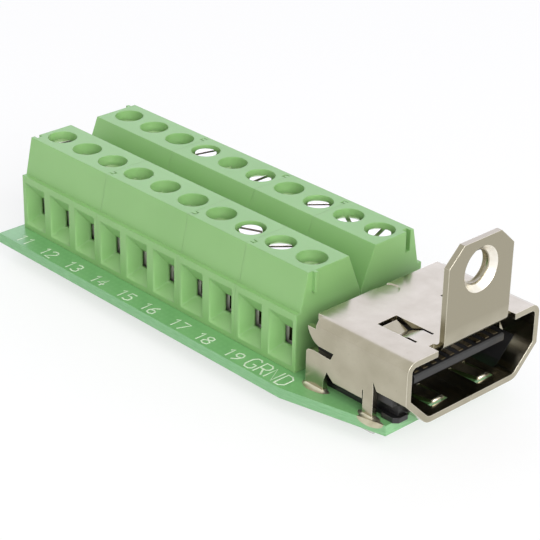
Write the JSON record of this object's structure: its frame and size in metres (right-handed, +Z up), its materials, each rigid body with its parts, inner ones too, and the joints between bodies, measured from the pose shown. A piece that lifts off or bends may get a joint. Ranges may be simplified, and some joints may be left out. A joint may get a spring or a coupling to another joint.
{
  "type": "hdmi to terminal block adapter",
  "caption": "Flat circuit board with a digital video receptacle and screw ear at one end, wired to rows of small green screw terminals.",
  "frame": {"origin": "middle of the bounding box's bottom, in the plane of the solder pins' tips", "axes": "+X out of the receptacle's mouth along the board, +Z up from the board's parts side, -Y the wire side of the front terminal row"},
  "size_m": [0.0474, 0.019, 0.0164],
  "materials": {
    "board_green": "green solder mask over glass-fibre board",
    "terminal_green": "moulded polyamide, light green, fine satin",
    "clamp_nickel": "nickel-plated brass, bright",
    "screw_nickel": "nickel-plated steel, bright",
    "tinned_pin": "tinned brass",
    "shell_nickel": "nickel-plated folded steel, satin",
    "insulator_black": "black moulded liquid crystal polymer",
    "contact_gold": "gold-plated copper alloy",
    "solder": "bright solder"
  },
  "bodies": {
    "root": {"circuit_board": "board_green", "terminal_housing_front_1": "terminal_green", "terminal_housing_front_2": "terminal_green", "terminal_housing_front_3": "terminal_green", "terminal_housing_front_4": "terminal_green", "terminal_housing_rear_1": "terminal_green", "terminal_housing_rear_2": "terminal_green", "terminal_housing_rear_3": "terminal_green", "terminal_housing_rear_4": "terminal_green", "clamp_frames_front": "clamp_nickel", "solder_pins_front": "tinned_pin", "clamp_frames_rear": "clamp_nickel", "solder_pins_rear": "tinned_pin", "receptacle_shell": "shell_nickel", "insulator": "insulator_black", "contacts_upper": "contact_gold", "contacts_lower": "contact_gold", "shell_solder_joints": "solder", "terminal_solder_joints": "solder"},
    "plate_front_1": {"pressure_plate_front_1": "clamp_nickel"},
    "screw_front_1": {"clamp_screw_front_1": "screw_nickel"},
    "plate_front_2": {"pressure_plate_front_2": "clamp_nickel"},
    "screw_front_2": {"clamp_screw_front_2": "screw_nickel"},
    "plate_front_3": {"pressure_plate_front_3": "clamp_nickel"},
    "screw_front_3": {"clamp_screw_front_3": "screw_nickel"},
    "plate_front_4": {"pressure_plate_front_4": "clamp_nickel"},
    "screw_front_4": {"clamp_screw_front_4": "screw_nickel"},
    "plate_front_5": {"pressure_plate_front_5": "clamp_nickel"},
    "screw_front_5": {"clamp_screw_front_5": "screw_nickel"},
    "plate_front_6": {"pressure_plate_front_6": "clamp_nickel"},
    "screw_front_6": {"clamp_screw_front_6": "screw_nickel"},
    "plate_front_7": {"pressure_plate_front_7": "clamp_nickel"},
    "screw_front_7": {"clamp_screw_front_7": "screw_nickel"},
    "plate_front_8": {"pressure_plate_front_8": "clamp_nickel"},
    "screw_front_8": {"clamp_screw_front_8": "screw_nickel"},
    "plate_front_9": {"pressure_plate_front_9": "clamp_nickel"},
    "screw_front_9": {"clamp_screw_front_9": "screw_nickel"},
    "plate_front_10": {"pressure_plate_front_10": "clamp_nickel"},
    "screw_front_10": {"clamp_screw_front_10": "screw_nickel"},
    "plate_rear_1": {"pressure_plate_rear_1": "clamp_nickel"},
    "screw_rear_1": {"clamp_screw_rear_1": "screw_nickel"},
    "plate_rear_2": {"pressure_plate_rear_2": "clamp_nickel"},
    "screw_rear_2": {"clamp_screw_rear_2": "screw_nickel"},
    "plate_rear_3": {"pressure_plate_rear_3": "clamp_nickel"},
    "screw_rear_3": {"clamp_screw_rear_3": "screw_nickel"},
    "plate_rear_4": {"pressure_plate_rear_4": "clamp_nickel"},
    "screw_rear_4": {"clamp_screw_rear_4": "screw_nickel"},
    "plate_rear_5": {"pressure_plate_rear_5": "clamp_nickel"},
    "screw_rear_5": {"clamp_screw_rear_5": "screw_nickel"},
    "plate_rear_6": {"pressure_plate_rear_6": "clamp_nickel"},
    "screw_rear_6": {"clamp_screw_rear_6": "screw_nickel"},
    "plate_rear_7": {"pressure_plate_rear_7": "clamp_nickel"},
    "screw_rear_7": {"clamp_screw_rear_7": "screw_nickel"},
    "plate_rear_8": {"pressure_plate_rear_8": "clamp_nickel"},
    "screw_rear_8": {"clamp_screw_rear_8": "screw_nickel"},
    "plate_rear_9": {"pressure_plate_rear_9": "clamp_nickel"},
    "screw_rear_9": {"clamp_screw_rear_9": "screw_nickel"},
    "plate_rear_10": {"pressure_plate_rear_10": "clamp_nickel"},
    "screw_rear_10": {"clamp_screw_rear_10": "screw_nickel"}
  },
  "joints": [
    {"name": "plate_front_1_slide", "type": "slide", "parent": "root", "child": "plate_front_1", "axis": [0, 0, 1], "range_m": [-0.0016, 0.00043]},
    {"name": "screw_front_1_turn", "type": "hinge", "parent": "plate_front_1", "child": "screw_front_1", "pos_m": [-0.02152, -0.0038, 0.01035], "axis": [0, 0, 1], "range_deg": [-1445, 392]},
    {"name": "plate_front_2_slide", "type": "slide", "parent": "root", "child": "plate_front_2", "axis": [0, 0, 1], "range_m": [-0.00135, 0.00068]},
    {"name": "screw_front_2_turn", "type": "hinge", "parent": "plate_front_2", "child": "screw_front_2", "pos_m": [-0.01802, -0.0038, 0.0101], "axis": [0, 0, 1], "range_deg": [-1220, 617]},
    {"name": "plate_front_3_slide", "type": "slide", "parent": "root", "child": "plate_front_3", "axis": [0, 0, 1], "range_m": [-0.00143, 0.0006]},
    {"name": "screw_front_3_turn", "type": "hinge", "parent": "plate_front_3", "child": "screw_front_3", "pos_m": [-0.01452, -0.0038, 0.01018], "axis": [0, 0, 1], "range_deg": [-1292, 545]},
    {"name": "plate_front_4_slide", "type": "slide", "parent": "root", "child": "plate_front_4", "axis": [0, 0, 1], "range_m": [-0.00135, 0.00068]},
    {"name": "screw_front_4_turn", "type": "hinge", "parent": "plate_front_4", "child": "screw_front_4", "pos_m": [-0.01102, -0.0038, 0.0101], "axis": [0, 0, 1], "range_deg": [-1220, 617]},
    {"name": "plate_front_5_slide", "type": "slide", "parent": "root", "child": "plate_front_5", "axis": [0, 0, 1], "range_m": [-0.00132, 0.00071]},
    {"name": "screw_front_5_turn", "type": "hinge", "parent": "plate_front_5", "child": "screw_front_5", "pos_m": [-0.00752, -0.0038, 0.01007], "axis": [0, 0, 1], "range_deg": [-1193, 644]},
    {"name": "plate_front_6_slide", "type": "slide", "parent": "root", "child": "plate_front_6", "axis": [0, 0, 1], "range_m": [-0.0013, 0.00073]},
    {"name": "screw_front_6_turn", "type": "hinge", "parent": "plate_front_6", "child": "screw_front_6", "pos_m": [-0.00402, -0.0038, 0.01005], "axis": [0, 0, 1], "range_deg": [-1175, 662]},
    {"name": "plate_front_7_slide", "type": "slide", "parent": "root", "child": "plate_front_7", "axis": [0, 0, 1], "range_m": [-0.0013, 0.00073]},
    {"name": "screw_front_7_turn", "type": "hinge", "parent": "plate_front_7", "child": "screw_front_7", "pos_m": [-0.00052, -0.0038, 0.01005], "axis": [0, 0, 1], "range_deg": [-1175, 662]},
    {"name": "plate_front_8_slide", "type": "slide", "parent": "root", "child": "plate_front_8", "axis": [0, 0, 1], "range_m": [-0.00198, 0.00005]},
    {"name": "screw_front_8_turn", "type": "hinge", "parent": "plate_front_8", "child": "screw_front_8", "pos_m": [0.00298, -0.0038, 0.01073], "axis": [0, 0, 1], "range_deg": [-1787, 50]},
    {"name": "plate_front_9_slide", "type": "slide", "parent": "root", "child": "plate_front_9", "axis": [0, 0, 1], "range_m": [-0.00178, 0.00025]},
    {"name": "screw_front_9_turn", "type": "hinge", "parent": "plate_front_9", "child": "screw_front_9", "pos_m": [0.00648, -0.0038, 0.01053], "axis": [0, 0, 1], "range_deg": [-1607, 230]},
    {"name": "plate_front_10_slide", "type": "slide", "parent": "root", "child": "plate_front_10", "axis": [0, 0, 1], "range_m": [-0.00133, 0.0007]},
    {"name": "screw_front_10_turn", "type": "hinge", "parent": "plate_front_10", "child": "screw_front_10", "pos_m": [0.00998, -0.0038, 0.01008], "axis": [0, 0, 1], "range_deg": [-1202, 635]},
    {"name": "plate_rear_1_slide", "type": "slide", "parent": "root", "child": "plate_rear_1", "axis": [0, 0, 1], "range_m": [-0.0014, 0.00063]},
    {"name": "screw_rear_1_turn", "type": "hinge", "parent": "plate_rear_1", "child": "screw_rear_1", "pos_m": [-0.02152, 0.0038, 0.01015], "axis": [0, 0, 1], "range_deg": [-1265, 572]},
    {"name": "plate_rear_2_slide", "type": "slide", "parent": "root", "child": "plate_rear_2", "axis": [0, 0, 1], "range_m": [-0.00143, 0.0006]},
    {"name": "screw_rear_2_turn", "type": "hinge", "parent": "plate_rear_2", "child": "screw_rear_2", "pos_m": [-0.01802, 0.0038, 0.01018], "axis": [0, 0, 1], "range_deg": [-1292, 545]},
    {"name": "plate_rear_3_slide", "type": "slide", "parent": "root", "child": "plate_rear_3", "axis": [0, 0, 1], "range_m": [-0.00122, 0.00081]},
    {"name": "screw_rear_3_turn", "type": "hinge", "parent": "plate_rear_3", "child": "screw_rear_3", "pos_m": [-0.01452, 0.0038, 0.00997], "axis": [0, 0, 1], "range_deg": [-1103, 734]},
    {"name": "plate_rear_4_slide", "type": "slide", "parent": "root", "child": "plate_rear_4", "axis": [0, 0, 1], "range_m": [-0.00197, 0.00006]},
    {"name": "screw_rear_4_turn", "type": "hinge", "parent": "plate_rear_4", "child": "screw_rear_4", "pos_m": [-0.01102, 0.0038, 0.01072], "axis": [0, 0, 1], "range_deg": [-1778, 59]},
    {"name": "plate_rear_5_slide", "type": "slide", "parent": "root", "child": "plate_rear_5", "axis": [0, 0, 1], "range_m": [-0.00142, 0.00061]},
    {"name": "screw_rear_5_turn", "type": "hinge", "parent": "plate_rear_5", "child": "screw_rear_5", "pos_m": [-0.00752, 0.0038, 0.01017], "axis": [0, 0, 1], "range_deg": [-1283, 554]},
    {"name": "plate_rear_6_slide", "type": "slide", "parent": "root", "child": "plate_rear_6", "axis": [0, 0, 1], "range_m": [-0.00182, 0.00021]},
    {"name": "screw_rear_6_turn", "type": "hinge", "parent": "plate_rear_6", "child": "screw_rear_6", "pos_m": [-0.00402, 0.0038, 0.01057], "axis": [0, 0, 1], "range_deg": [-1643, 194]},
    {"name": "plate_rear_7_slide", "type": "slide", "parent": "root", "child": "plate_rear_7", "axis": [0, 0, 1], "range_m": [-0.00131, 0.00072]},
    {"name": "screw_rear_7_turn", "type": "hinge", "parent": "plate_rear_7", "child": "screw_rear_7", "pos_m": [-0.00052, 0.0038, 0.01006], "axis": [0, 0, 1], "range_deg": [-1184, 653]},
    {"name": "plate_rear_8_slide", "type": "slide", "parent": "root", "child": "plate_rear_8", "axis": [0, 0, 1], "range_m": [-0.00188, 0.00015]},
    {"name": "screw_rear_8_turn", "type": "hinge", "parent": "plate_rear_8", "child": "screw_rear_8", "pos_m": [0.00298, 0.0038, 0.01063], "axis": [0, 0, 1], "range_deg": [-1697, 140]},
    {"name": "plate_rear_9_slide", "type": "slide", "parent": "root", "child": "plate_rear_9", "axis": [0, 0, 1], "range_m": [-0.00172, 0.00031]},
    {"name": "screw_rear_9_turn", "type": "hinge", "parent": "plate_rear_9", "child": "screw_rear_9", "pos_m": [0.00648, 0.0038, 0.01047], "axis": [0, 0, 1], "range_deg": [-1553, 284]},
    {"name": "plate_rear_10_slide", "type": "slide", "parent": "root", "child": "plate_rear_10", "axis": [0, 0, 1], "range_m": [-0.00186, 0.00017]},
    {"name": "screw_rear_10_turn", "type": "hinge", "parent": "plate_rear_10", "child": "screw_rear_10", "pos_m": [0.00998, 0.0038, 0.01061], "axis": [0, 0, 1], "range_deg": [-1679, 158]}
  ],
  "couplings": [
    {"joint": "screw_front_1_turn", "follows": "plate_front_1_slide", "rad_per_m": 15708},
    {"joint": "screw_front_2_turn", "follows": "plate_front_2_slide", "rad_per_m": 15708},
    {"joint": "screw_front_3_turn", "follows": "plate_front_3_slide", "rad_per_m": 15708},
    {"joint": "screw_front_4_turn", "follows": "plate_front_4_slide", "rad_per_m": 15708},
    {"joint": "screw_front_5_turn", "follows": "plate_front_5_slide", "rad_per_m": 15708},
    {"joint": "screw_front_6_turn", "follows": "plate_front_6_slide", "rad_per_m": 15708},
    {"joint": "screw_front_7_turn", "follows": "plate_front_7_slide", "rad_per_m": 15708},
    {"joint": "screw_front_8_turn", "follows": "plate_front_8_slide", "rad_per_m": 15708},
    {"joint": "screw_front_9_turn", "follows": "plate_front_9_slide", "rad_per_m": 15708},
    {"joint": "screw_front_10_turn", "follows": "plate_front_10_slide", "rad_per_m": 15708},
    {"joint": "screw_rear_1_turn", "follows": "plate_rear_1_slide", "rad_per_m": 15708},
    {"joint": "screw_rear_2_turn", "follows": "plate_rear_2_slide", "rad_per_m": 15708},
    {"joint": "screw_rear_3_turn", "follows": "plate_rear_3_slide", "rad_per_m": 15708},
    {"joint": "screw_rear_4_turn", "follows": "plate_rear_4_slide", "rad_per_m": 15708},
    {"joint": "screw_rear_5_turn", "follows": "plate_rear_5_slide", "rad_per_m": 15708},
    {"joint": "screw_rear_6_turn", "follows": "plate_rear_6_slide", "rad_per_m": 15708},
    {"joint": "screw_rear_7_turn", "follows": "plate_rear_7_slide", "rad_per_m": 15708},
    {"joint": "screw_rear_8_turn", "follows": "plate_rear_8_slide", "rad_per_m": 15708},
    {"joint": "screw_rear_9_turn", "follows": "plate_rear_9_slide", "rad_per_m": 15708},
    {"joint": "screw_rear_10_turn", "follows": "plate_rear_10_slide", "rad_per_m": 15708}
  ]
}
